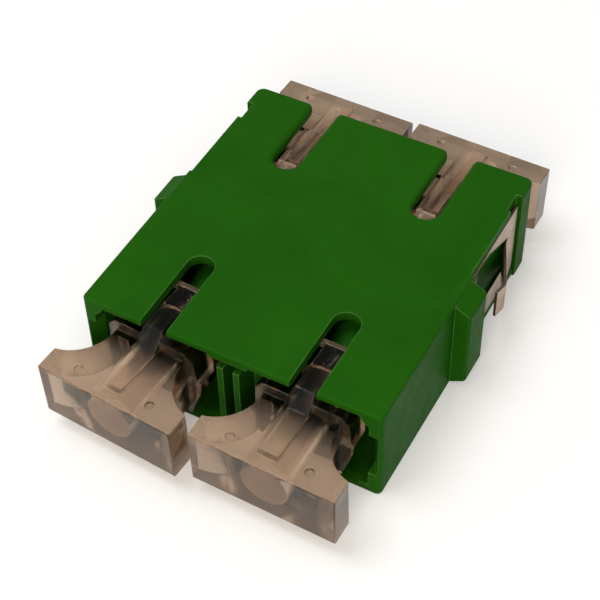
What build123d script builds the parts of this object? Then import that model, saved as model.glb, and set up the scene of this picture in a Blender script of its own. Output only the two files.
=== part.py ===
# Duplex fibre optic adapter with its four dust caps
#
# Two ports side by side, each joining a plug from the front to a plug from the rear.
# X runs across the ports, Y along them (the front is -Y) and Z up.
# The origin is under the middle of the body, on the plane that the body rests on.
# All sizes are in millimetres.

import os
from math import sqrt

from build123d import *

# Standard sizes of the connector family
port_pitch = 12.7
ferrule_diameter = 2.5

# Body: its width and height are those of the two ports and the walls round them
body_length = 27.8
side_wall = 1.05
top_wall = 0.85
front_corner_radius = 0.45
rear_corner_radius = 0.7
long_edge_radius = 0.2

# Port passages and the wider mouths in front of them
passage_width = 9.3
passage_height = 7.6
mouth_step = 0.75
mouth_depth = 2.2
mouth_corner_cut = 0.7
mouth_step_chamfer = 0.4
lip_lead_in = 0.3
side_lead_width = 0.75
side_lead_depth = 1.2
side_lead_height = 4.5

# Key slots in the top wall; slot_end is how far from the middle they stop
slot_width = 2.3
slot_end = 5.85
slot_mouth_radius = 0.5

# Relief groove in the wall between the ports, wider at its head
relief_width = 0.84
relief_head_width = 2.0
relief_head_height = 0.85
relief_depth = 9.0

# Ears that stop against the panel
ear_reach = 1.35
ear_length = 3.1
ear_drop = 0.95
ear_edge_radius = 0.25

# Recess for the spring clip in each narrow side
recess_start = 2.0
recess_end = 11.6
recess_open_depth = 0.25
notch_length = 2.0
notch_depth = 0.6

# Spring clip
clip_thickness = 0.25
clip_inset = 0.8
clip_edge_gap = 0.15
clip_rear_gap = 0.4
clip_seat_gap = 0.03
clip_below_side = 0.23
clip_front_bar = 1.2
clip_rear_bar = 1.6
clip_lower_bar = 2.25
clip_upper_bar = 2.15
clip_upper_rail = 0.45
clip_slope_length = 4.0
tongue_height = 2.8
tongue_reach = 1.5
tongue_crest_y = 5.05
tongue_lip_length = 1.15
tongue_lip_return = 0.25
tongue_bend_radius = 0.6
clip_leg_depth = 0.75
clip_leg_height = 5.0
clip_leg_clearance = 0.05

# Alignment sleeve
sleeve_wall = 0.35
sleeve_length = 11.4
sleeve_slit = 0.5
sleeve_chamfer = 0.12

# Sleeve holder with its two latch hooks
holder_clearance = 0.05
holder_mid_gap = 0.02
holder_flange = 2.0
holder_tube_diameter = 4.3
holder_tube_length = 7.4
holder_tube_chamfer = 0.3
sleeve_clearance = 0.1
sleeve_stop_gap = 0.15
ferrule_clearance = 0.15
hook_gap = 1.25
hook_thickness = 0.75
hook_height = 3.4
hook_tip = 9.45
hook_barb = 0.25
hook_barb_length = 1.1
hook_root_radius = 0.35

# Dust cap: the plug and the key are sized by the port, and the neck by how far out the grip is
cap_plate_spacing = 0.5
cap_plate_gap = 2.05
cap_plate_thickness = 2.1
cap_plate_height = 5.3
cap_plate_edge_radius = 0.15
cap_grip_radius = 3.7
cap_neck_width = 6.4
cap_plug_side_play = 0.55
cap_plug_height_play = 0.25
cap_plug_length = 6.2
cap_plug_corner = 0.7
cap_plug_draft = 0.12
cap_plug_taper_width = 0.75
cap_plug_taper_height = 2.35
cap_plug_lead_in = 0.3
cap_key_play = 0.3
cap_key_height = 0.6
cap_key_slope_length = 1.0
cap_key_end_round = 0.6
cap_spine_height = 0.3
cap_spine_start = 1.1
cap_key_root = 0.35
cap_bore_diameter = 4.0
cap_bore_end_wall = 0.9
cap_socket_depth = 2.4
cap_socket_clearance = 0.35
cap_core_wall = 0.3
cap_shoulder_thickness = 0.5
cap_hook_end_gap = 0.3
cap_skirt_level = -0.1
cap_channel_clearance = 0.4
cap_dimple_diameter = 0.7
cap_dimple_depth = 0.2
cap_dimple_spacing = 6.6

# Where the caps stand: the rear ones are home, the front ones drawn out.
# They are loose in their ports, so each droops, and stands turned and off centre by its play.
# At home the slope at the end of the key runs in under the end of its slot.
cap_home_overrun = 0.1
cap_side_play = 0.12
front_cap_drawn = 2.15
front_cap_droop = 1.2
front_left_skew = 4.4
front_right_skew = 1.4
rear_cap_droop = 1.5
rear_cap_skew = 1.0

# Values that follow from the sizes above
mouth_width = passage_width + 2 * mouth_step
body_width = port_pitch + mouth_width + 2 * side_wall
body_height = passage_height + 2 * top_wall
half_width = body_width / 2
half_length = body_length / 2
axis_height = body_height / 2
port_offset = port_pitch / 2
passage_top = axis_height + passage_height / 2
passage_floor = axis_height - passage_height / 2
mouth_outer = port_offset + mouth_width / 2
mouth_start = half_length - mouth_depth
slot_length = half_length - slot_end
clip_height = body_height - 2 * clip_inset
clip_outer = half_width - clip_below_side
clip_inner = clip_outer - clip_thickness
seat_floor = clip_inner - clip_seat_gap
clip_front = recess_start + clip_edge_gap
clip_rear = recess_end - clip_rear_gap
clip_bottom = axis_height - clip_height / 2
clip_top = axis_height + clip_height / 2
leg_inner = clip_inner - clip_leg_depth
window_front = clip_front + clip_front_bar
window_rear = clip_rear - clip_rear_bar
sleeve_inner_radius = ferrule_diameter / 2
sleeve_outer_radius = sleeve_inner_radius + sleeve_wall
cap_plate_width = port_pitch - cap_plate_spacing
cap_plug_width = passage_width - 2 * cap_plug_side_play
cap_plug_height = passage_height - 2 * cap_plug_height_play
cap_key_width = slot_width - 2 * cap_key_play
cap_home_face = half_length + cap_plate_gap + cap_plate_thickness
cap_shoulder = cap_home_face - slot_end + cap_home_overrun - cap_plug_length
cap_end = cap_shoulder + cap_plug_length
cap_channel_depth = hook_tip + cap_hook_end_gap - (slot_end - cap_home_overrun)
cap_key_top = cap_plug_height / 2 + cap_key_height
cap_spine_top = cap_plate_height / 2 + cap_spine_height
cap_socket_radius = holder_tube_diameter / 2 + cap_socket_clearance

# The fillet at the root of a hook stays on the rim of the flange beside it
hook_inner = holder_tube_diameter / 2 + hook_gap
hook_rim = passage_width / 2 - holder_clearance - hook_inner - hook_thickness
hook_root = min(hook_root_radius, 0.8 * abs(hook_rim))

# Body: one moulding with both ports, the ears and the seats of the two clips
with BuildPart() as adapter_body:
    Box(body_width, body_length, body_height, align=(Align.CENTER, Align.CENTER, Align.MIN))
    fillet(adapter_body.edges().filter_by(Axis.Z).group_by(Axis.Y)[0], radius=front_corner_radius)
    fillet(adapter_body.edges().filter_by(Axis.Z).group_by(Axis.Y)[-1], radius=rear_corner_radius)
    fillet(
        adapter_body.edges().filter_by(Axis.Y).filter_by(lambda e: e.length > body_length / 2),
        radius=long_edge_radius,
    )

    # Ears, sloped above and below so that they leave the body at its long edges
    for side in (-1, 1):
        with BuildSketch(Plane.XZ):
            Polygon(
                (side * (half_width - 1), long_edge_radius),
                (side * half_width, long_edge_radius),
                (side * (half_width + ear_reach), ear_drop),
                (side * (half_width + ear_reach), body_height - ear_drop),
                (side * half_width, body_height - long_edge_radius),
                (side * (half_width - 1), body_height - long_edge_radius),
                align=None,
            )
        extrude(amount=ear_length / 2, both=True)
    for face in (adapter_body.faces().sort_by(Axis.X)[0], adapter_body.faces().sort_by(Axis.X)[-1]):
        fillet(face.edges(), radius=ear_edge_radius)

    # Passages, straight through
    with BuildSketch(Plane.XZ):
        with Locations((-port_offset, axis_height), (port_offset, axis_height)):
            Rectangle(passage_width, passage_height)
    extrude(amount=half_length, both=True, mode=Mode.SUBTRACT)

    # Mouths at both ends of each port; the upper outer corner is cut
    for end in (-1, 1):
        for side in (-1, 1):
            inner = side * (port_offset - mouth_width / 2)
            outer = side * mouth_outer
            with BuildSketch(Plane.XZ.offset(end * mouth_start)):
                Polygon(
                    (inner, passage_floor),
                    (outer, passage_floor),
                    (outer, passage_top - mouth_corner_cut),
                    (outer - side * mouth_corner_cut, passage_top),
                    (inner, passage_top),
                    align=None,
                )
            extrude(amount=end * mouth_depth, mode=Mode.SUBTRACT)
    chamfer(
        adapter_body.edges()
        .filter_by(Axis.Z)
        .filter_by(lambda e: abs(abs(e.center().Y) - mouth_start) < 0.01)
        .filter_by(lambda e: abs(abs(abs(e.center().X) - port_offset) - passage_width / 2) < 0.01),
        length=mouth_step_chamfer,
    )

    # Lead-ins of the mouths: under the top lip, over the bottom lip and in the outer wall
    for side in (-1, 1):
        for end in (-1, 1):
            face_y = end * half_length
            with BuildSketch(Plane.YZ.offset(side * port_offset)):
                for level, way in ((passage_top, 1), (passage_floor, -1)):
                    Polygon(
                        (face_y, level),
                        (face_y, level + way * lip_lead_in),
                        (face_y - end * 2 * lip_lead_in, level),
                        align=None,
                    )
            extrude(amount=mouth_width / 2 - mouth_corner_cut, both=True, mode=Mode.SUBTRACT)
            with BuildSketch(Plane.XY.offset(axis_height)):
                Polygon(
                    (side * mouth_outer, face_y),
                    (side * (mouth_outer + side_lead_width), face_y),
                    (side * mouth_outer, face_y - end * side_lead_depth),
                    align=None,
                )
            extrude(amount=side_lead_height / 2, both=True, mode=Mode.SUBTRACT)

    # Key slots, round at their inner ends
    with BuildSketch(Plane.XY.offset(axis_height)):
        for side in (-1, 1):
            for end in (-1, 1):
                with Locations((side * port_offset, end * (slot_end + slot_width / 2))):
                    Circle(slot_width / 2)
                straight = slot_length - slot_width / 2
                with Locations((side * port_offset, end * (half_length - straight / 2))):
                    Rectangle(slot_width, straight)
    extrude(amount=body_height - axis_height, mode=Mode.SUBTRACT)
    fillet(
        adapter_body.edges()
        .filter_by(Axis.Z)
        .filter_by(lambda e: abs(e.center().Y - half_length) < 0.01)
        .filter_by(lambda e: e.center().Z > passage_top)
        .filter_by(lambda e: abs(abs(abs(e.center().X) - port_offset) - slot_width / 2) < 0.01),
        radius=slot_mouth_radius,
    )

    # Relief grooves between the ports
    for end in (-1, 1):
        with Locations((0, end * (half_length - relief_depth / 2), axis_height)):
            Box(relief_width, relief_depth, passage_height, mode=Mode.SUBTRACT)
        with Locations((0, end * (half_length - relief_depth / 2), passage_top)):
            Box(
                relief_head_width,
                relief_depth,
                relief_head_height,
                align=(Align.CENTER, Align.CENTER, Align.MAX),
                mode=Mode.SUBTRACT,
            )

    # Clip recesses: a shallow step, the seat of the plate, the notch behind it and the leg slots
    recess_length = recess_end - recess_start
    recess_middle = (recess_end + recess_start) / 2
    slot_thickness = clip_thickness + 2 * clip_leg_clearance
    for side in (-1, 1):
        with Locations((side * half_width, recess_middle, axis_height)):
            Box(2 * recess_open_depth, recess_length, body_height, mode=Mode.SUBTRACT)
            Box(
                2 * (half_width - seat_floor),
                recess_length,
                clip_height + 2 * clip_edge_gap,
                mode=Mode.SUBTRACT,
            )
        with Locations((side * half_width, recess_end - notch_length / 2, body_height)):
            Box(
                2 * notch_depth,
                notch_length,
                body_height - clip_bottom + clip_edge_gap,
                align=(Align.CENTER, Align.CENTER, Align.MAX),
                mode=Mode.SUBTRACT,
            )
        leg_middles = (clip_front + clip_thickness / 2, clip_rear - clip_thickness / 2)
        with Locations(*[(side * half_width, leg_y, axis_height) for leg_y in leg_middles]):
            Box(
                2 * (half_width - leg_inner + clip_leg_clearance),
                slot_thickness,
                clip_leg_height + 2 * clip_leg_clearance,
                mode=Mode.SUBTRACT,
            )
adapter_body.part.label = "adapter_body"

# Spring clip of the right side: a stamped frame, a tongue bent out of it and two bent legs
with BuildPart() as right_clip:
    with BuildSketch(Plane.YZ.offset(clip_inner)):
        with Locations(((clip_front + clip_rear) / 2, axis_height)):
            Rectangle(clip_rear - clip_front, clip_height)
        Polygon(
            (window_front, clip_bottom + clip_lower_bar),
            (window_rear, clip_bottom + clip_lower_bar),
            (window_rear, clip_top - clip_upper_bar),
            (window_rear - clip_slope_length, clip_top - clip_upper_rail),
            (window_front, clip_top - clip_upper_rail),
            align=None,
            mode=Mode.SUBTRACT,
        )
        chamfer(vertices().group_by(Axis.X)[-1].sort_by(Axis.Y)[0], length=0.8)
    extrude(amount=clip_thickness)
    plate_middle = (clip_inner + clip_outer) / 2
    crest = half_width + tongue_reach
    with BuildSketch(Plane.XY.offset(axis_height - tongue_height / 2)):
        with BuildLine():
            FilletPolyline(
                (plate_middle, window_rear + clip_rear_bar / 2),
                (plate_middle, window_rear - 0.3),
                (crest, tongue_crest_y),
                (crest - tongue_lip_return, tongue_crest_y - tongue_lip_length),
                radius=tongue_bend_radius,
            )
        trace(line_width=clip_thickness)
    extrude(amount=tongue_height)
    for leg_y in (clip_front, clip_rear - clip_thickness):
        with Locations((clip_outer, leg_y, axis_height)):
            Box(
                clip_leg_depth + clip_thickness,
                clip_thickness,
                clip_leg_height,
                align=(Align.MAX, Align.MIN, Align.CENTER),
            )
right_clip.part.label = "right_clip"

left_clip_part = mirror(right_clip.part, about=Plane.YZ)
left_clip_part.label = "left_clip"

# Alignment sleeve on its own axis, slit along the top
with BuildPart() as sleeve:
    with BuildSketch(Plane.XZ):
        Circle(sleeve_outer_radius)
        Circle(sleeve_inner_radius, mode=Mode.SUBTRACT)
        Rectangle(
            sleeve_slit,
            2 * sleeve_outer_radius,
            align=(Align.CENTER, Align.MIN),
            mode=Mode.SUBTRACT,
        )
    extrude(amount=sleeve_length / 2, both=True)
    chamfer(
        sleeve.faces().filter_by(Axis.Y).edges().filter_by(GeomType.CIRCLE),
        length=sleeve_chamfer,
    )

# Sleeve holder for the front half of a port, on the axis of the port
with BuildPart() as holder:
    with Locations((0, -holder_mid_gap, 0)):
        Box(
            passage_width - 2 * holder_clearance,
            holder_flange,
            passage_height - 2 * holder_clearance,
            align=(Align.CENTER, Align.MAX, Align.CENTER),
        )
    with BuildSketch(Plane.XZ.offset(holder_mid_gap)):
        Circle(holder_tube_diameter / 2)
    extrude(amount=holder_tube_length - holder_mid_gap)
    chamfer(
        holder.faces().sort_by(Axis.Y)[0].edges().filter_by(GeomType.CIRCLE),
        length=holder_tube_chamfer,
    )
    for side in (-1, 1):
        with BuildSketch(Plane.XY):
            Polygon(
                (side * hook_inner, -holder_flange),
                (side * (hook_inner + hook_thickness), -holder_flange),
                (side * (hook_inner + hook_thickness), -hook_tip),
                (side * hook_inner, -hook_tip),
                (side * (hook_inner - hook_barb), -hook_tip + hook_barb_length * 0.45),
                (side * (hook_inner - hook_barb), -hook_tip + hook_barb_length * 0.7),
                (side * hook_inner, -hook_tip + hook_barb_length),
                align=None,
            )
        extrude(amount=hook_height / 2, both=True)
    fillet(
        holder.edges()
        .filter_by(Axis.Z)
        .filter_by(lambda e: abs(e.center().Y + holder_flange + holder_mid_gap) < 0.01)
        .filter_by(lambda e: abs(e.length - hook_height) < 0.01),
        radius=hook_root,
    )
    with BuildSketch(Plane.XZ):
        Circle(sleeve_outer_radius + sleeve_clearance)
    extrude(amount=sleeve_length / 2 + sleeve_stop_gap, mode=Mode.SUBTRACT)
    with BuildSketch(Plane.XZ):
        Circle(sleeve_inner_radius + ferrule_clearance)
    extrude(amount=holder_tube_length, mode=Mode.SUBTRACT)

# Dust cap on the axis of its port, with the outer face of its grip at Y = 0
with BuildPart() as cap:
    grip_centre_x = cap_neck_width / 2 + cap_grip_radius
    grip_centre_y = cap_plate_thickness + sqrt(
        cap_grip_radius**2 - (grip_centre_x - cap_plate_width / 2) ** 2
    )
    with BuildSketch(Plane.XY):
        with Locations((0, 0)):
            Rectangle(cap_plate_width, cap_plate_thickness, align=(Align.CENTER, Align.MIN))
            Rectangle(
                cap_plate_width,
                grip_centre_y,
                align=(Align.CENTER, Align.MIN),
            )
            Rectangle(cap_neck_width, cap_shoulder, align=(Align.CENTER, Align.MIN))
        with Locations((-grip_centre_x, grip_centre_y), (grip_centre_x, grip_centre_y)):
            Circle(cap_grip_radius, mode=Mode.SUBTRACT)
    extrude(amount=cap_plate_height / 2, both=True)
    plate_rims = cap.edges().filter_by(lambda e: abs(e.center().Y) < 0.01)
    fillet(plate_rims, radius=cap_plate_edge_radius)

    # Plug with drafted sides and cut corners; it narrows towards its underside
    half_plug = cap_plug_width / 2
    half_plug_top = half_plug - cap_plug_draft
    plug_top = cap_plug_height / 2
    with BuildSketch(Plane.XZ.offset(-cap_shoulder)):
        Polygon(
            (half_plug, 0),
            (half_plug_top, plug_top - cap_plug_corner),
            (half_plug_top - cap_plug_corner, plug_top),
            (-half_plug_top + cap_plug_corner, plug_top),
            (-half_plug_top, plug_top - cap_plug_corner),
            (-half_plug, 0),
            (-half_plug_top, cap_plug_taper_height - plug_top),
            (-half_plug_top + cap_plug_taper_width, -plug_top),
            (half_plug_top - cap_plug_taper_width, -plug_top),
            (half_plug_top, cap_plug_taper_height - plug_top),
            align=None,
        )
    extrude(amount=-cap_plug_length)
    chamfer(cap.faces().sort_by(Axis.Y)[-1].edges(), length=cap_plug_lead_in)

    # Key along the top, with a low spine that runs on over the neck; its inner end is rounded
    key_rise = cap_key_top - cap_spine_top
    cap_key_foot = cap_plate_height / 2 - cap_key_root
    with BuildPart(mode=Mode.PRIVATE) as key:
        with BuildSketch(Plane.YZ):
            Polygon(
                (cap_spine_start, cap_key_foot),
                (cap_spine_start, cap_plate_height / 2),
                (cap_spine_start + cap_spine_height, cap_spine_top),
                (cap_shoulder + 0.6 - key_rise, cap_spine_top),
                (cap_shoulder + 0.6, cap_key_top),
                (cap_end - cap_key_slope_length, cap_key_top),
                (cap_end, plug_top - cap_plug_lead_in),
                (cap_end, cap_key_foot),
                align=None,
            )
        extrude(amount=cap_key_width / 2, both=True)
        with BuildSketch(Plane.XY):
            with Locations((0, cap_end)):
                Rectangle(cap_key_width, cap_end, align=(Align.CENTER, Align.MAX))
            fillet(vertices().group_by(Axis.Y)[-1], radius=cap_key_end_round)
        extrude(amount=cap_key_top, mode=Mode.INTERSECT)
    add(key.part)

    # Sides: skirts above the middle that stop short of the latch hooks, and nothing below it but
    # the shoulder and the core
    core_half = cap_socket_radius + cap_core_wall
    for side in (-1, 1):
        outward = Align.MIN if side > 0 else Align.MAX
        with Locations((side * core_half, cap_end, 0)):
            Box(
                cap_plug_width,
                cap_channel_depth,
                hook_height + 2 * cap_channel_clearance,
                align=(outward, Align.MAX, Align.CENTER),
                mode=Mode.SUBTRACT,
            )
        with Locations((side * core_half, cap_end, cap_skirt_level)):
            Box(
                cap_plug_width,
                cap_plug_length - cap_shoulder_thickness,
                cap_plug_height,
                align=(outward, Align.MAX, Align.MAX),
                mode=Mode.SUBTRACT,
            )

    # Blind bore, and the socket over the sleeve holder
    with BuildSketch(Plane.XZ.offset(-cap_bore_end_wall)):
        Circle(cap_bore_diameter / 2)
    extrude(amount=-(cap_end - cap_bore_end_wall), mode=Mode.SUBTRACT)
    with BuildSketch(Plane.XZ.offset(-cap_end)):
        Circle(cap_socket_radius)
    extrude(amount=cap_socket_depth, mode=Mode.SUBTRACT)

    # Ejector marks on the top of the grip
    with BuildSketch(Plane.XY.offset(cap_plate_height / 2)):
        with GridLocations(cap_dimple_spacing, 1, 2, 1):
            with Locations((0, 0.7 * cap_plate_thickness)):
                Circle(cap_dimple_diameter / 2)
    extrude(amount=-cap_dimple_depth, mode=Mode.SUBTRACT)

# Placing: rear pieces are the front ones turned half round about Z
turn_round = Rotation(0, 0, 180)
left_port = Location((-port_offset, 0, axis_height))
right_port = Location((port_offset, 0, axis_height))

front_left_holder_part = left_port * holder.part
front_right_holder_part = right_port * holder.part
rear_left_holder_part = left_port * turn_round * holder.part
rear_right_holder_part = right_port * turn_round * holder.part
left_sleeve_part = left_port * sleeve.part
right_sleeve_part = right_port * sleeve.part

# Each cap turns about the middle of the stretch that its port holds
front_grip = (half_length + slot_end + front_cap_drawn) / 2
rear_grip = cap_home_face - cap_shoulder - cap_plug_length / 2
front_cap_seat = (
    Pos(0, -front_grip, 0)
    * Rotation(front_cap_droop, 0, 0)
    * Pos(0, front_grip - cap_home_face - front_cap_drawn, 0)
)
rear_cap_seat = (
    Pos(0, -rear_grip, 0) * Rotation(rear_cap_droop, 0, 0) * Pos(0, rear_grip - cap_home_face, 0)
)


def turned(angle, distance):
    """A turn about the upright line at Y = -distance."""
    return Pos(0, -distance, 0) * Rotation(0, 0, angle) * Pos(0, distance, 0)


to_right = Pos(cap_side_play, 0, 0)
front_left_turn = turned(-front_left_skew, front_grip)
front_right_turn = turned(-front_right_skew, front_grip)
rear_turn = turned(-rear_cap_skew, rear_grip)

front_left_cap_part = left_port * front_left_turn * front_cap_seat * cap.part
front_right_cap_part = right_port * to_right * front_right_turn * front_cap_seat * cap.part
rear_left_cap_part = left_port * to_right * turn_round * rear_turn * rear_cap_seat * cap.part
rear_right_cap_part = right_port * to_right * turn_round * rear_turn * rear_cap_seat * cap.part

front_left_holder_part.label = "front_left_holder"
front_right_holder_part.label = "front_right_holder"
rear_left_holder_part.label = "rear_left_holder"
rear_right_holder_part.label = "rear_right_holder"
left_sleeve_part.label = "left_sleeve"
right_sleeve_part.label = "right_sleeve"
front_left_cap_part.label = "front_left_cap"
front_right_cap_part.label = "front_right_cap"
rear_left_cap_part.label = "rear_left_cap"
rear_right_cap_part.label = "rear_right_cap"

os.makedirs("parts", exist_ok=True)
export_step(adapter_body.part, "parts/adapter_body.step")
export_step(left_clip_part, "parts/left_clip.step")
export_step(right_clip.part, "parts/right_clip.step")
export_step(front_left_holder_part, "parts/front_left_holder.step")
export_step(front_right_holder_part, "parts/front_right_holder.step")
export_step(rear_left_holder_part, "parts/rear_left_holder.step")
export_step(rear_right_holder_part, "parts/rear_right_holder.step")
export_step(left_sleeve_part, "parts/left_sleeve.step")
export_step(right_sleeve_part, "parts/right_sleeve.step")
export_step(front_left_cap_part, "parts/front_left_cap.step")
export_step(front_right_cap_part, "parts/front_right_cap.step")
export_step(rear_left_cap_part, "parts/rear_left_cap.step")
export_step(rear_right_cap_part, "parts/rear_right_cap.step")
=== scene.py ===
# %% [markdown]
# # A duplex fibre optic adapter with its four dust caps
#
# The adapter is a flat green moulding with two square ports that go right through it. A steel
# spring clip sits in each narrow side, and a smoky, see-through cap closes each end of each port.
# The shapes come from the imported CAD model. This script gives them their edges, their finishes,
# the light and the camera.

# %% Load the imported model
import math

import bpy
import numpy as np
from mathutils import Matrix, Vector

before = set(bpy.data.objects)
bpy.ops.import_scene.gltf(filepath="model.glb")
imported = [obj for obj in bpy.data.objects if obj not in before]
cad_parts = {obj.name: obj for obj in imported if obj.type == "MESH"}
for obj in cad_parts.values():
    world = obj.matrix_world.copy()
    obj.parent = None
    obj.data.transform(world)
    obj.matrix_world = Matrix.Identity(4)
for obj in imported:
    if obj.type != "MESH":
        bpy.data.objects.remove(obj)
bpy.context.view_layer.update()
MM = 0.001


# %% Pieces by their kind
def pieces_of(kind):
    """The CAD pieces whose names end in this word: body, clip, holder, sleeve or cap."""
    return [piece for name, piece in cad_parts.items() if name.endswith(kind)]


for kind in ("body", "clip", "holder", "sleeve", "cap"):
    print(kind, len(pieces_of(kind)))

# %% [markdown]
# ## Edges
#
# A mould or a stamping die never leaves a knife edge: a plastic edge has a radius of a few
# hundredths of a millimetre, and a stamped one a little less. That small round is what catches
# the light along the mouths and slots. It could be faked in the shader, but a modifier makes it
# real geometry, so it also shows in outline. The triangles of the CAD mesh are merged first and
# flat faces are joined, so that only true corners are rounded. The body gets a smaller round than
# the other mouldings, because its finish also paints a highlight along the edges, and finds them
# best while they are sharp. The sleeves stay as they are, deep in the ports.

# %% Round every sharp corner of a piece
SAME_POINT_MM = 0.0005
FLAT_BELOW = math.radians(0.5)
SHARP_ABOVE = math.radians(30)


def round_edges(piece, radius_mm):
    """Merge the loose triangles, join flat ones, then cut each sharp corner with a round of the
    given radius, in two steps."""
    weld = piece.modifiers.new("merge corners", "WELD")
    weld.merge_threshold = SAME_POINT_MM * MM
    flat = piece.modifiers.new("join flat faces", "DECIMATE")
    flat.decimate_type = "DISSOLVE"
    flat.angle_limit = FLAT_BELOW
    edge = piece.modifiers.new("round edges", "BEVEL")
    edge.width = radius_mm * MM
    edge.segments = 2
    edge.limit_method = "ANGLE"
    edge.angle_limit = SHARP_ABOVE
    edge.use_clamp_overlap = False
    edge.harden_normals = True
    edge.miter_outer = "MITER_ARC"


EDGE_MM = {"body": 0.03, "clip": 0.03, "holder": 0.06, "cap": 0.06}
for kind, radius_mm in EDGE_MM.items():
    for piece in pieces_of(kind):
        round_edges(piece, radius_mm)
print("edge radii in mm:", EDGE_MM)

# %% [markdown]
# ## Tools for finishes
#
# Every finish here is a tree of shader nodes. A few small helpers are enough: one turns a colour
# as a painter would pick it into the linear values that the renderer counts with, and one adds a
# node with its settings and whatever feeds it. The other two start an empty finish and dress
# pieces in it.


# %% Colour and node helpers
def linear(colour):
    """sRGB hex to linear: below 0.04045 a straight line, above it a power of 2.4."""
    channels = [int(colour[i : i + 2], 16) / 255 for i in (1, 3, 5)]
    return [c / 12.92 if c <= 0.04045 else ((c + 0.055) / 1.055) ** 2.4 for c in channels] + [1]


def add(tree, kind, inputs=None, **settings):
    """Add a node and set it up. Each input gets a plain value or the socket that feeds it."""
    made = tree.nodes.new(kind)
    for key, value in settings.items():
        setattr(made, key, value)
    for key, value in (inputs or {}).items():
        if isinstance(value, bpy.types.NodeSocket):
            tree.links.new(value, made.inputs[key])
        else:
            made.inputs[key].default_value = value
    return made


def new_finish(name):
    """An empty material and its node tree."""
    material = bpy.data.materials.new(name)
    material.use_nodes = True
    material.node_tree.nodes.clear()
    return material, material.node_tree


def dress(pieces, material):
    """Give CAD pieces one material in place of the one they came with."""
    for piece in pieces:
        piece.data.materials.clear()
        piece.data.materials.append(material)


EVEN_MM = (1 / MM, 1 / MM, 1 / MM)
print("pattern lengths in mm: Object coordinates times", EVEN_MM)

# %% [markdown]
# ## Green body: glass-filled polyester, moulded
#
# The body is PBT, a hard polyester that is common for connectors. The mould was spark-eroded,
# which leaves a satin skin: tiny pits about 0.1 mm apart. The pits are drawn 0.16 mm apart so
# that they still show. The colour drifts a little where the melt flowed, over about 8 mm. The
# edges get a painted highlight: a paler green, broken into patches about 1.5 mm long. It is
# worked out so that it follows every edge: the finish compares a softened direction of the
# surface with the true one, and where the two part it lays the highlight colour on.

# %% Sizes of the moulded skin
FLOW_MM = 8
# The patches break up the painted edge highlight and also vary the roughness.
PATCH_MM = 1.5
PIT_MM = 0.16
PIT_DEPTH_MM = 0.01
SOFTENED_MM = 0.1
# The last number is how strong the painted edge highlight gets on a corner.
FACE_COSINE, CORNER_COSINE, CORNER_HIGHLIGHT = 0.985, 0.88, 1.7
print("the pits are drawn", round(FLOW_MM / PIT_MM), "times finer than the flow of the melt")


# %% Where a moulded edge gets a painted highlight
def painted_edge_highlight(tree, patches):
    """0 on a flat face, and the patches times the strength of the painted highlight on a corner.
    The cosine between the softened and the true direction is 1 on a face and falls towards the corner."""
    softened = add(tree, "ShaderNodeBevel", {"Radius": SOFTENED_MM * MM}, samples=8)
    shape = add(tree, "ShaderNodeNewGeometry")
    cosine = add(
        tree,
        "ShaderNodeVectorMath",
        {0: softened.outputs["Normal"], 1: shape.outputs["Normal"]},
        operation="DOT_PRODUCT",
    )
    grip_clearness_and_edge_highlight = add(
        tree,
        "ShaderNodeMapRange",
        {
            "Value": cosine.outputs["Value"],
            "From Min": FACE_COSINE,
            "From Max": CORNER_COSINE,
            "To Min": 0.0,
            "To Max": CORNER_HIGHLIGHT,
        },
    )
    highlight_patches = add(tree, "ShaderNodeMath", {0: grip_clearness_and_edge_highlight.outputs["Result"], 1: patches}, operation="MULTIPLY")
    return highlight_patches.outputs["Value"]


print("edges are looked for within", SOFTENED_MM, "mm")


# %% Finish of the body and of the sleeve holders
def moulded_green(name, deep, light, edge, smoothest, roughest):
    """Satin green: slow colour drift, fine pits in the bump, and a painted highlight along the edges."""
    material, tree = new_finish(name)
    place = add(tree, "ShaderNodeTexCoord")
    in_mm = add(tree, "ShaderNodeMapping", {"Vector": place.outputs["Object"], "Scale": EVEN_MM})
    where = in_mm.outputs["Vector"]
    flow = add(
        tree,
        "ShaderNodeTexNoise",
        {"Vector": where, "Scale": 1 / FLOW_MM, "Detail": 4, "Roughness": 0.6, "Distortion": 0.8},
    )
    patches = add(tree, "ShaderNodeTexNoise", {"Vector": where, "Scale": 1 / PATCH_MM, "Detail": 3})
    pits = add(
        tree,
        "ShaderNodeTexNoise",
        {"Vector": where, "Scale": 1 / PIT_MM, "Detail": 2, "Roughness": 0.7},
    )
    drift = add(tree, "ShaderNodeValToRGB", {"Fac": flow.outputs["Fac"]})
    drift.color_ramp.elements[0].position = 0.35
    drift.color_ramp.elements[0].color = linear(deep)
    drift.color_ramp.elements[1].position = 0.65
    drift.color_ramp.elements[1].color = linear(light)
    # The edge colour is a painted highlight, laid on in patches along the edges.
    colour = add(
        tree,
        "ShaderNodeMix",
        {
            "Factor": painted_edge_highlight(tree, patches.outputs["Fac"]),
            "A": drift.outputs["Color"],
            "B": linear(edge),
        },
        data_type="RGBA",
    )
    shine = add(
        tree,
        "ShaderNodeMapRange",
        {
            "Value": patches.outputs["Fac"],
            "From Min": 0.3,
            "From Max": 0.7,
            "To Min": smoothest,
            "To Max": roughest,
        },
    )
    skin = add(
        tree,
        "ShaderNodeBump",
        {"Height": pits.outputs["Fac"], "Strength": 0.25, "Distance": PIT_DEPTH_MM * MM},
    )
    plastic = add(
        tree,
        "ShaderNodeBsdfPrincipled",
        {
            "Base Color": colour.outputs["Result"],
            "Roughness": shine.outputs["Result"],
            "Normal": skin.outputs["Normal"],
            "IOR": 1.45,
            "Specular IOR Level": 0.03,
        },
    )
    add(tree, "ShaderNodeOutputMaterial", {"Surface": plastic.outputs["BSDF"]})
    return material


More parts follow.
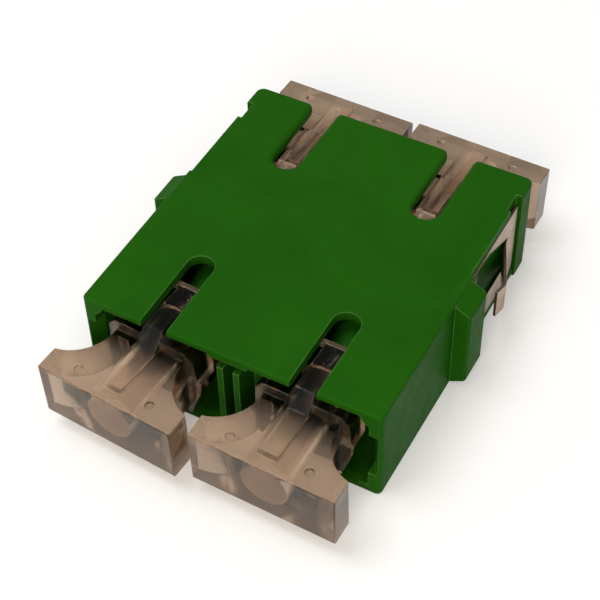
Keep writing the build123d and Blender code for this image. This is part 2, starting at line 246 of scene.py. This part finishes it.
# The third colour of each green is its painted edge highlight.
body_green = moulded_green("moulded_green_pbt", "#1B5009", "#1F570B", "#86B36C", 0.4, 0.52)
holder_green = moulded_green("moulded_green_pbt_inner", "#1F5A10", "#276816", "#4C8C36", 0.3, 0.42)
dress(pieces_of("body"), body_green)
dress(pieces_of("holder"), holder_green)
print("made", body_green.name, "and", holder_green.name)

# %% [markdown]
# ## Spring clips: rolled stainless strip, stamped and bent
#
# Spring strip is cold rolled, so fine lines run along it, some 0.05 mm apart, drawn 0.09 mm
# apart here. They could be real grooves, but a noise that is stretched along the strip does the
# same in the bump and in the roughness, and costs no faces. The lines stretch each highlight
# across the rolling direction. The metal is a little brown from its heat treatment, in stains
# about 2 mm wide. Its colour is also darkened as painted shade, standing in for the dark
# surroundings that the flat bars reflect.

# %% Finish of the clips
LINE_MM = 0.09
LINE_DEPTH_MM = 0.004
STAIN_MM = 1.8
STRETCHED_ALONG_Y = (1 / MM, 60, 1 / MM)

clip_steel, tree = new_finish("rolled_stainless_spring_steel")
place = add(tree, "ShaderNodeTexCoord")
along = add(tree, "ShaderNodeMapping", {"Vector": place.outputs["Object"], "Scale": STRETCHED_ALONG_Y})
lines = add(
    tree,
    "ShaderNodeTexNoise",
    {"Vector": along.outputs["Vector"], "Scale": 1 / LINE_MM, "Detail": 3, "Roughness": 0.6},
)
in_mm = add(tree, "ShaderNodeMapping", {"Vector": place.outputs["Object"], "Scale": EVEN_MM})
stain = add(
    tree,
    "ShaderNodeTexNoise",
    {"Vector": in_mm.outputs["Vector"], "Scale": 1 / STAIN_MM, "Detail": 3},
)
# Brown heat tint, also darkened as painted shade for the dark surroundings that the flat steel reflects.
heat_tint_and_painted_shade = add(tree, "ShaderNodeValToRGB", {"Fac": stain.outputs["Fac"]})
heat_tint_and_painted_shade.color_ramp.elements[0].position = 0.3
heat_tint_and_painted_shade.color_ramp.elements[0].color = linear("#84705E")
heat_tint_and_painted_shade.color_ramp.elements[1].position = 0.7
heat_tint_and_painted_shade.color_ramp.elements[1].color = linear("#A6917D")
gloss = add(
    tree,
    "ShaderNodeMapRange",
    {"Value": lines.outputs["Fac"], "From Min": 0.3, "From Max": 0.7, "To Min": 0.22, "To Max": 0.38},
)
scored = add(
    tree,
    "ShaderNodeBump",
    {"Height": lines.outputs["Fac"], "Strength": 0.3, "Distance": LINE_DEPTH_MM * MM},
)
metal = add(
    tree,
    "ShaderNodeBsdfPrincipled",
    {
        "Base Color": heat_tint_and_painted_shade.outputs["Color"],
        "Roughness": gloss.outputs["Result"],
        "Normal": scored.outputs["Normal"],
        "Metallic": 1.0,
    },
)
add(tree, "ShaderNodeOutputMaterial", {"Surface": metal.outputs["BSDF"]})
dress(pieces_of("clip"), clip_steel)
print("made", clip_steel.name)

# %% [markdown]
# ## Alignment sleeves: zirconia, ground and polished
#
# The two split sleeves sit deep in the ports. Zirconia is an ivory white ceramic, ground to a
# mirror, with a faint haze from the grinding. The grinding marks could be cut into the shape, but
# they are far finer than a pixel, so they are drawn 0.12 mm apart and only change the colour and
# the roughness. They run round the sleeve, so the noise is stretched in x and z.

# %% Finish of the sleeves
GRINDING_MM = 0.12
STRETCHED_ROUND_Y = (150, 1 / MM, 150)

zirconia, tree = new_finish("polished_zirconia")
place = add(tree, "ShaderNodeTexCoord")
around = add(tree, "ShaderNodeMapping", {"Vector": place.outputs["Object"], "Scale": STRETCHED_ROUND_Y})
ground = add(
    tree,
    "ShaderNodeTexNoise",
    {"Vector": around.outputs["Vector"], "Scale": 1 / GRINDING_MM, "Detail": 2},
)
ivory = add(tree, "ShaderNodeValToRGB", {"Fac": ground.outputs["Fac"]})
ivory.color_ramp.elements[0].color = linear("#E2DDCB")
ivory.color_ramp.elements[1].color = linear("#F2EFE2")
haze = add(tree, "ShaderNodeMapRange", {"Value": ground.outputs["Fac"], "To Min": 0.06, "To Max": 0.16})
ceramic = add(
    tree,
    "ShaderNodeBsdfPrincipled",
    {"Base Color": ivory.outputs["Color"], "Roughness": haze.outputs["Result"], "IOR": 2.1},
)
add(tree, "ShaderNodeOutputMaterial", {"Surface": ceramic.outputs["BSDF"]})
dress(pieces_of("sleeve"), zirconia)
print("made", zirconia.name)

# %% [markdown]
# ## Dust caps: smoked clear plastic
#
# The caps are moulded in a clear plastic with a brown smoke tint. Light goes through them and
# bends, so the bore shows as a pale disc through the end face, and the dark inside of the port
# shows through the neck. All the tint could sit on the surface, but then a thick stretch would be
# no darker than a thin one. So part of it sits in the depth, as in real smoked plastic.
#
# How clear it is differs from place to place. The grip is scuffed by fingers, most on its top, so
# it scatters a little light. The walls behind the end plate and the plug keep the satin of a
# rougher mould, and the bore is matt. The sloped nose of the key is rubbed by the slot. Everywhere
# there is a soft ripple over about 2 mm, fine scuffs 0.3 mm apart, and the thin ridge where the
# mould halves met, at half height.
#
# All these places could be painted, but sizes in millimetres find them on every cap. A cap stands
# slightly turned in its port, so each has its own mapping that turns the pattern back to the
# cap's own axes. There x runs across, y is the depth from the face of the grip, and z the height
# above the middle of the cap.

# %% Places on a cap, in mm
MID_HEIGHT = 4.65
RIPPLE, RIPPLE_DEPTH = 2.2, 0.03
SCUFF = 0.3
RIDGE_HALF_WIDTH, RIDGE_DEPTH = 0.035, 0.01
BORE_RADIUS, BORE_START = 2.1, 0.5
PLATE_BACK = (1.5, 2.3)
GRIP_FADES = (1.8, 5.0)
TOP_RUB_FADES = (2.2, 5.5)
NOSE_START, NOSE_ABOVE = 11.2, 3.3
# How much a face looks up: where it starts to count as top, and where it fully does
TOP_COSINES = (0.6, 0.95)
print("the rubbed nose of a key starts", NOSE_START, "mm behind the face of the grip")


# %% The axes of a cap
def cap_axes(tree, port_x, face_y, turn, droop):
    """The place on the cap, in mm: the middle of its outer face goes to the origin, and the turn
    about z and the droop about x, in degrees, are undone."""
    turned = Matrix.Rotation(math.radians(turn), 3, "Z") @ Matrix.Rotation(math.radians(droop), 3, "X")
    undo = turned.transposed()
    face_middle = Vector((port_x, face_y, MID_HEIGHT))
    place = add(tree, "ShaderNodeTexCoord")
    turned_back = add(
        tree,
        "ShaderNodeMapping",
        {
            "Vector": place.outputs["Object"],
            "Location": tuple(-(undo @ face_middle)),
            "Rotation": tuple(undo.to_euler("XYZ")),
            "Scale": EVEN_MM,
        },
    )
    return turned_back.outputs["Vector"]


print("the middle of a cap is", MID_HEIGHT, "mm above the table")


# %% Relief of a cap
def cap_relief(tree, spot, off_axis, ripple):
    """A direction of the surface with the soft ripple and, outside the disc of the bore, the
    ridge of the mould: 1 at half height, falling to 0 over its half width."""
    away = add(tree, "ShaderNodeMath", {0: spot["Z"]}, operation="ABSOLUTE")
    ridge = add(
        tree,
        "ShaderNodeMapRange",
        {
            "Value": away.outputs["Value"],
            "From Min": 0.0,
            "From Max": RIDGE_HALF_WIDTH,
            "To Min": 1.0,
            "To Max": 0.0,
        },
    )
    off_disc = add(tree, "ShaderNodeMath", {0: off_axis, 1: BORE_RADIUS}, operation="GREATER_THAN")
    parting = add(
        tree,
        "ShaderNodeMath",
        {0: ridge.outputs["Result"], 1: off_disc.outputs["Value"]},
        operation="MULTIPLY",
    )
    soft = add(
        tree,
        "ShaderNodeBump",
        {"Height": ripple, "Strength": 0.5, "Distance": RIPPLE_DEPTH * MM},
    )
    seam = add(
        tree,
        "ShaderNodeBump",
        {
            "Height": parting.outputs["Value"],
            "Normal": soft.outputs["Normal"],
            "Strength": 0.5,
            "Distance": RIDGE_DEPTH * MM,
        },
    )
    return seam.outputs["Normal"]


print("the ridge of the mould is", 2 * RIDGE_HALF_WIDTH, "mm wide")

# %% How rough a cap is
POLISHED, SATIN, TOP_GLOSS, BORE_MATT, SCUFF_HAZE = 0.03, 0.18, 0.05, 0.3, 0.08


def cap_roughness(tree, spot, off_axis, on_top, scuffs):
    """Polished in front, satin behind the end plate, glossy on top, all with the haze of the
    scuffs, and matt in the bore."""
    inward = add(
        tree,
        "ShaderNodeMapRange",
        {
            "Value": spot["Y"],
            "From Min": PLATE_BACK[0],
            "From Max": PLATE_BACK[1],
            "To Min": POLISHED,
            "To Max": SATIN,
        },
    )
    moulded = add(
        tree,
        "ShaderNodeMix",
        {"Factor": on_top, "A": inward.outputs["Result"], "B": TOP_GLOSS},
        data_type="FLOAT",
    )
    worn = add(
        tree,
        "ShaderNodeMath",
        {0: scuffs, 1: SCUFF_HAZE, 2: moulded.outputs["Result"]},
        operation="MULTIPLY_ADD",
    )
    near_axis = add(tree, "ShaderNodeMath", {0: off_axis, 1: BORE_RADIUS}, operation="LESS_THAN")
    behind_wall = add(tree, "ShaderNodeMath", {0: spot["Y"], 1: BORE_START}, operation="GREATER_THAN")
    in_bore = add(
        tree,
        "ShaderNodeMath",
        {0: near_axis.outputs["Value"], 1: behind_wall.outputs["Value"]},
        operation="MULTIPLY",
    )
    matt = add(
        tree,
        "ShaderNodeMix",
        {"Factor": in_bore.outputs["Value"], "A": worn.outputs["Value"], "B": BORE_MATT},
        data_type="FLOAT",
    )
    return matt.outputs["Result"]


print("roughness from", POLISHED, "to", BORE_MATT)

# %% How clear a cap is
GRIP_CLEAR, TOP_RUB, NOSE_CLEAR = 0.93, 0.26, 0.8


def cap_clearness(tree, spot, on_top):
    """The share of the light that goes in: 1 where nothing rubs, a little less on the grip, least
    on its top, and lowered again on the nose of the key."""
    grip_clearness_and_edge_highlight = add(
        tree,
        "ShaderNodeMapRange",
        {
            "Value": spot["Y"],
            "From Min": GRIP_FADES[0],
            "From Max": GRIP_FADES[1],
            "To Min": GRIP_CLEAR,
            "To Max": 1.0,
        },
    )
    rubbed = add(
        tree,
        "ShaderNodeMapRange",
        {
            "Value": spot["Y"],
            "From Min": TOP_RUB_FADES[0],
            "From Max": TOP_RUB_FADES[1],
            "To Min": TOP_RUB,
            "To Max": 0.0,
        },
    )
    top_haze = add(tree, "ShaderNodeMath", {0: on_top, 1: rubbed.outputs["Result"]}, operation="MULTIPLY")
    cleared = add(
        tree,
        "ShaderNodeMath",
        {0: grip_clearness_and_edge_highlight.outputs["Result"], 1: top_haze.outputs["Value"]},
        operation="SUBTRACT",
    )
    past_slope = add(tree, "ShaderNodeMath", {0: spot["Y"], 1: NOSE_START}, operation="GREATER_THAN")
    on_key = add(tree, "ShaderNodeMath", {0: spot["Z"], 1: NOSE_ABOVE}, operation="GREATER_THAN")
    nose = add(
        tree,
        "ShaderNodeMath",
        {0: past_slope.outputs["Value"], 1: on_key.outputs["Value"]},
        operation="MULTIPLY",
    )
    clear = add(
        tree,
        "ShaderNodeMix",
        {"Factor": nose.outputs["Value"], "A": cleared.outputs["Value"], "B": NOSE_CLEAR},
        data_type="FLOAT",
    )
    return clear.outputs["Result"]


print("the top of a grip lets", round(GRIP_CLEAR - TOP_RUB, 2), "of the light in")


# %% Finish of the caps
def smoked_clear(name, *stance):
    """Clear smoked plastic for one cap, with its patterns on the cap's own axes."""
    material, tree = new_finish(name)
    where = cap_axes(tree, *stance)
    spot = add(tree, "ShaderNodeSeparateXYZ", {"Vector": where}).outputs
    across = add(tree, "ShaderNodeCombineXYZ", {"X": spot["X"], "Y": spot["Z"]})
    radius = add(tree, "ShaderNodeVectorMath", {0: across.outputs["Vector"]}, operation="LENGTH")
    off_axis = radius.outputs["Value"]
    shape = add(tree, "ShaderNodeNewGeometry")
    faces_up = add(
        tree,
        "ShaderNodeVectorMath",
        {0: shape.outputs["Normal"], 1: (0, 0, 1)},
        operation="DOT_PRODUCT",
    )
    level = add(
        tree,
        "ShaderNodeMapRange",
        {"Value": faces_up.outputs["Value"], "From Min": TOP_COSINES[0], "From Max": TOP_COSINES[1]},
    )
    on_top = level.outputs["Result"]
    ripple = add(tree, "ShaderNodeTexNoise", {"Vector": where, "Scale": 1 / RIPPLE, "Detail": 2})
    scuffs = add(
        tree,
        "ShaderNodeTexNoise",
        {"Vector": where, "Scale": 1 / SCUFF, "Detail": 4, "Roughness": 0.7},
    )
    smoke = add(tree, "ShaderNodeValToRGB", {"Fac": ripple.outputs["Fac"]})
    smoke.color_ramp.elements[0].color = linear("#C8AD94")
    smoke.color_ramp.elements[1].color = linear("#D3B9A1")
    plastic = add(
        tree,
        "ShaderNodeBsdfPrincipled",
        {
            "Base Color": smoke.outputs["Color"],
            "Roughness": cap_roughness(tree, spot, off_axis, on_top, scuffs.outputs["Fac"]),
            "Normal": cap_relief(tree, spot, off_axis, ripple.outputs["Fac"]),
            "Transmission Weight": cap_clearness(tree, spot, on_top),
            "IOR": 1.38,
            "Specular IOR Level": 0.0,
        },
    )
    depth_tint = add(tree, "ShaderNodeVolumeAbsorption", {"Color": linear("#B4A994"), "Density": 125.0})
    add(
        tree,
        "ShaderNodeOutputMaterial",
        {"Surface": plastic.outputs["BSDF"], "Volume": depth_tint.outputs["Volume"]},
    )
    return material


# Each cap: x of its port and y of its face in mm, then its turn and its droop in degrees
CAP_STANCE = {
    "front_left_cap": (-7.0, -20.2, -4.4, 1.2),
    "front_right_cap": (6.25, -20.2, -1.4, 1.2),
    "rear_left_cap": (-6.0, 18.05, 179.0, 1.5),
    "rear_right_cap": (6.7, 18.05, 179.0, 1.5),
}
for name, stance in CAP_STANCE.items():
    dress([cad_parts[name]], smoked_clear("smoked_clear_plastic_" + name, *stance))
print("dressed", len(CAP_STANCE), "caps")

# %% [markdown]
# ## Floor, light and camera
#
# The object lies on a plain white table. A large soft lamp above and to the left lights the top,
# a dimmer one in front opens up the ports, and a pale room fills the rest. More light could make
# the background white, but it would bleach the object too. So the camera sees the room as a white
# sweep that dims towards the ceiling, and so do rays that come off a gloss or through clear
# plastic, so that metal and caps show that background too. All other rays meet plain grey fill,
# and the floor keeps the object's shadow.

# %% Which rays see the background as it is
WHITE = linear("#FFFFFF")


def seen_directly(tree):
    """1 for rays from the camera, from a gloss and through clear plastic, 0 for the rest."""
    ray = add(tree, "ShaderNodeLightPath")
    bent = add(
        tree,
        "ShaderNodeMath",
        {0: ray.outputs["Is Glossy Ray"], 1: ray.outputs["Is Transmission Ray"]},
        operation="MAXIMUM",
    )
    either = add(
        tree,
        "ShaderNodeMath",
        {0: ray.outputs["Is Camera Ray"], 1: bent.outputs["Value"]},
        operation="MAXIMUM",
    )
    return either.outputs["Value"]


print("background white in linear light:", WHITE)

# %% Floor
HALF_FLOOR = 1.5
corners = np.array([(-1, -1, 0), (1, -1, 0), (1, 1, 0), (-1, 1, 0)], float) * HALF_FLOOR
floor_mesh = bpy.data.meshes.new("table")
floor_mesh.from_pydata(corners.tolist(), [], [(0, 1, 2, 3)])
floor = bpy.data.objects.new("table", floor_mesh)
bpy.context.scene.collection.objects.link(floor)

white_table, tree = new_finish("white_table")
lit = add(tree, "ShaderNodeBsdfDiffuse", {"Color": linear("#FEFEFE")})
grey = add(tree, "ShaderNodeBsdfDiffuse", {"Color": linear("#C4C4C4")})
white = add(tree, "ShaderNodeEmission", {"Color": WHITE, "Strength": 1.0})
part_white = add(
    tree,
    "ShaderNodeMixShader",
    {0: 0.25, 1: lit.outputs["BSDF"], 2: white.outputs["Emission"]},
)
shown = add(
    tree,
    "ShaderNodeMixShader",
    {0: seen_directly(tree), 1: grey.outputs["BSDF"], 2: part_white.outputs["Shader"]},
)
add(tree, "ShaderNodeOutputMaterial", {"Surface": shown.outputs["Shader"]})
floor_mesh.materials.append(white_table)
print("floor", 2 * HALF_FLOOR, "m wide")

# %% Room
world = bpy.data.worlds.new("room")
bpy.context.scene.world = world
world.use_nodes = True
tree = world.node_tree
tree.nodes.clear()
direction = add(tree, "ShaderNodeTexCoord")
steep = add(tree, "ShaderNodeSeparateXYZ", {"Vector": direction.outputs["Generated"]})
dimming = add(
    tree,
    "ShaderNodeMapRange",
    {"Value": steep.outputs["Z"], "From Min": 0.3, "From Max": 0.65, "To Min": 1.0, "To Max": 0.2},
    interpolation_type="SMOOTHSTEP",
)
fill = add(tree, "ShaderNodeBackground", {"Color": WHITE, "Strength": 0.45})
sweep = add(tree, "ShaderNodeBackground", {"Color": WHITE, "Strength": dimming.outputs["Result"]})
room = add(
    tree,
    "ShaderNodeMixShader",
    {0: seen_directly(tree), 1: fill.outputs["Background"], 2: sweep.outputs["Background"]},
)
add(tree, "ShaderNodeOutputWorld", {"Surface": room.outputs["Shader"]})
print("the room has", len(tree.nodes), "nodes")


# %% Lamps
def outwards(azimuth, elevation):
    """The direction from the object to a place: azimuth from the front towards the right and
    elevation above the table, both in degrees."""
    a, e = math.radians(azimuth), math.radians(elevation)
    return Vector((math.sin(a) * math.cos(e), -math.cos(a) * math.cos(e), math.sin(e)))


def soft_lamp(name, azimuth, elevation, size, watts, colour="#FFFFFF", distance=0.45):
    """A square lamp on a sphere round the object, turned to face it. Size and distance are in
    metres."""
    back = outwards(azimuth, elevation)
    data = bpy.data.lights.new(name, "AREA")
    data.size = size
    data.energy = watts
    data.color = linear(colour)[:3]
    lamp = bpy.data.objects.new(name, data)
    lamp.location = Vector((0, 0, 5 * MM)) + back * distance
    lamp.rotation_euler = back.to_track_quat("Z", "Y").to_euler()
    bpy.context.scene.collection.objects.link(lamp)
    return lamp


key_lamp = soft_lamp("key_lamp", azimuth=-60, elevation=72, size=0.26, watts=1.04)
front_lamp = soft_lamp("front_lamp", azimuth=15, elevation=30, size=0.20, watts=0.95, colour="#FFF1DC")
print("lamps:", key_lamp.name, "and", front_lamp.name)

# %% Camera
SENSOR_MM = 36
PICTURE_PX = 600
FOCAL_PX = 1529.1
ROLL = math.radians(-1.55)
DISTANCE = 0.12205

target = Vector((0.09, -2.84, MID_HEIGHT)) * MM
back = outwards(azimuth=29.57, elevation=47.97)
level = Vector((0, 0, 1)).cross(back).normalized()
upright = back.cross(level)
right = math.cos(ROLL) * level + math.sin(ROLL) * upright
up = -math.sin(ROLL) * level + math.cos(ROLL) * upright
facing = Matrix((right, up, back)).transposed().to_4x4()
lens = bpy.data.cameras.new("camera")
lens.sensor_width = SENSOR_MM
lens.lens = SENSOR_MM * FOCAL_PX / PICTURE_PX
lens.clip_start = 0.01
camera = bpy.data.objects.new("camera", lens)
camera.matrix_world = Matrix.Translation(target + back * DISTANCE) @ facing
bpy.context.scene.collection.objects.link(camera)
bpy.context.scene.camera = camera
bpy.context.scene.view_settings.view_transform = "Standard"
print("lens", round(lens.lens, 1), "mm")
